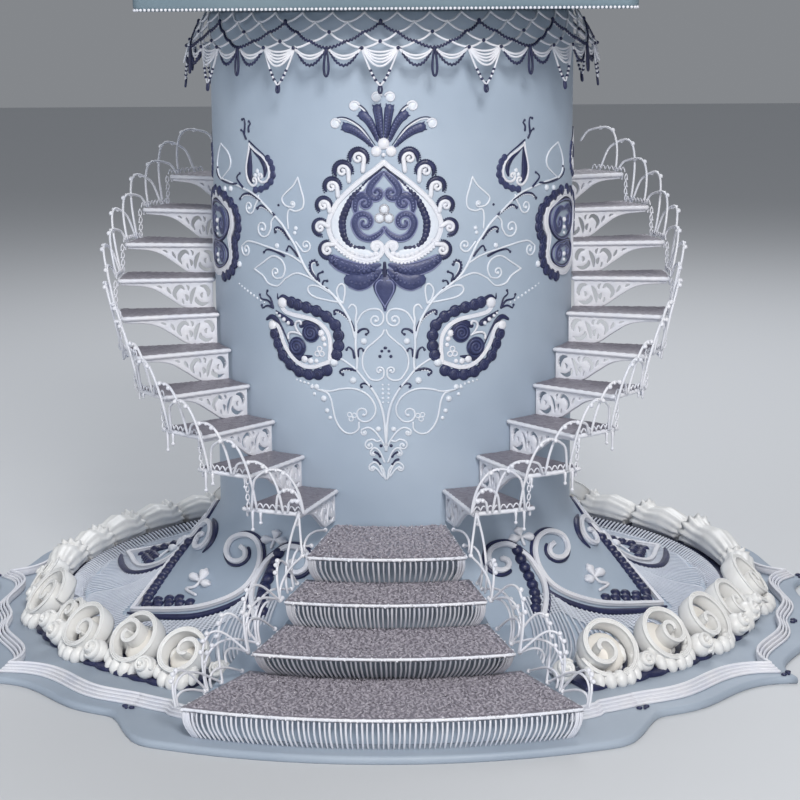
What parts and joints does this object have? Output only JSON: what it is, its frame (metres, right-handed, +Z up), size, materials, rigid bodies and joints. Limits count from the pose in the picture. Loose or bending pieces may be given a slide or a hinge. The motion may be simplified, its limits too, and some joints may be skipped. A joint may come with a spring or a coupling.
{
  "type": "castle cake",
  "caption": "Tall drum-shaped celebration cake with winding side stairs, a front stair, piped lace, navy wall ornament and a swirl wreath on an iced base.",
  "frame": {"origin": "under the drum's axis, on the underside of the iced base", "axes": "+Z up along the drum's axis, front stair towards -Y"},
  "size_m": [0.4918, 0.5344, 0.3547],
  "materials": {
    "pale_blue_icing": "smooth pale blue-grey rolled icing, satin",
    "navy_icing": "navy royal icing, slightly textured",
    "white_piping": "dried white royal icing piping",
    "sugared_tread": "rough sugar-covered tread with a white piped edge",
    "ivory_swirls": "ivory royal icing swirls with a soft sheen"
  },
  "bodies": {
    "root": {"cake_drum": "pale_blue_icing", "foot_paisley_left_1": "white_piping", "foot_paisley_left_2": "white_piping", "foot_paisley_left_3": "white_piping", "foot_paisley_right_1": "white_piping", "foot_paisley_right_2": "white_piping", "foot_paisley_right_3": "white_piping", "foot_scroll_left": "white_piping", "foot_scroll_right": "white_piping", "front_rail_left": "white_piping", "front_rail_right": "white_piping", "front_step_1": "sugared_tread", "front_step_2": "sugared_tread", "front_step_3": "sugared_tread", "front_step_4": "sugared_tread", "heart_band_back": "white_piping", "heart_band_front": "white_piping", "iced_base": "pale_blue_icing", "lace_skirt": "white_piping", "medallion_back": "navy_icing", "medallion_front": "navy_icing", "paisley_back_left": "navy_icing", "paisley_back_right": "navy_icing", "paisley_front_left": "navy_icing", "paisley_front_right": "navy_icing", "rail_left": "white_piping", "rail_right": "white_piping", "side_paisley_left": "navy_icing", "side_paisley_right": "navy_icing", "small_heart_back_left": "navy_icing", "small_heart_back_right": "navy_icing", "small_heart_front_left": "navy_icing", "small_heart_front_right": "navy_icing", "stair_core": "pale_blue_icing", "step_left_01": "sugared_tread", "step_left_02": "sugared_tread", "step_left_03": "sugared_tread", "step_left_04": "sugared_tread", "step_left_05": "sugared_tread", "step_left_06": "sugared_tread", "step_left_07": "sugared_tread", "step_left_08": "sugared_tread", "step_left_09": "sugared_tread", "step_left_10": "sugared_tread", "step_right_01": "sugared_tread", "step_right_02": "sugared_tread", "step_right_03": "sugared_tread", "step_right_04": "sugared_tread", "step_right_05": "sugared_tread", "step_right_06": "sugared_tread", "step_right_07": "sugared_tread", "step_right_08": "sugared_tread", "step_right_09": "sugared_tread", "step_right_10": "sugared_tread", "top_slab": "pale_blue_icing", "wreath_bed": "navy_icing", "wreath_left": "ivory_swirls", "wreath_right": "ivory_swirls"}
  },
  "joints": []
}
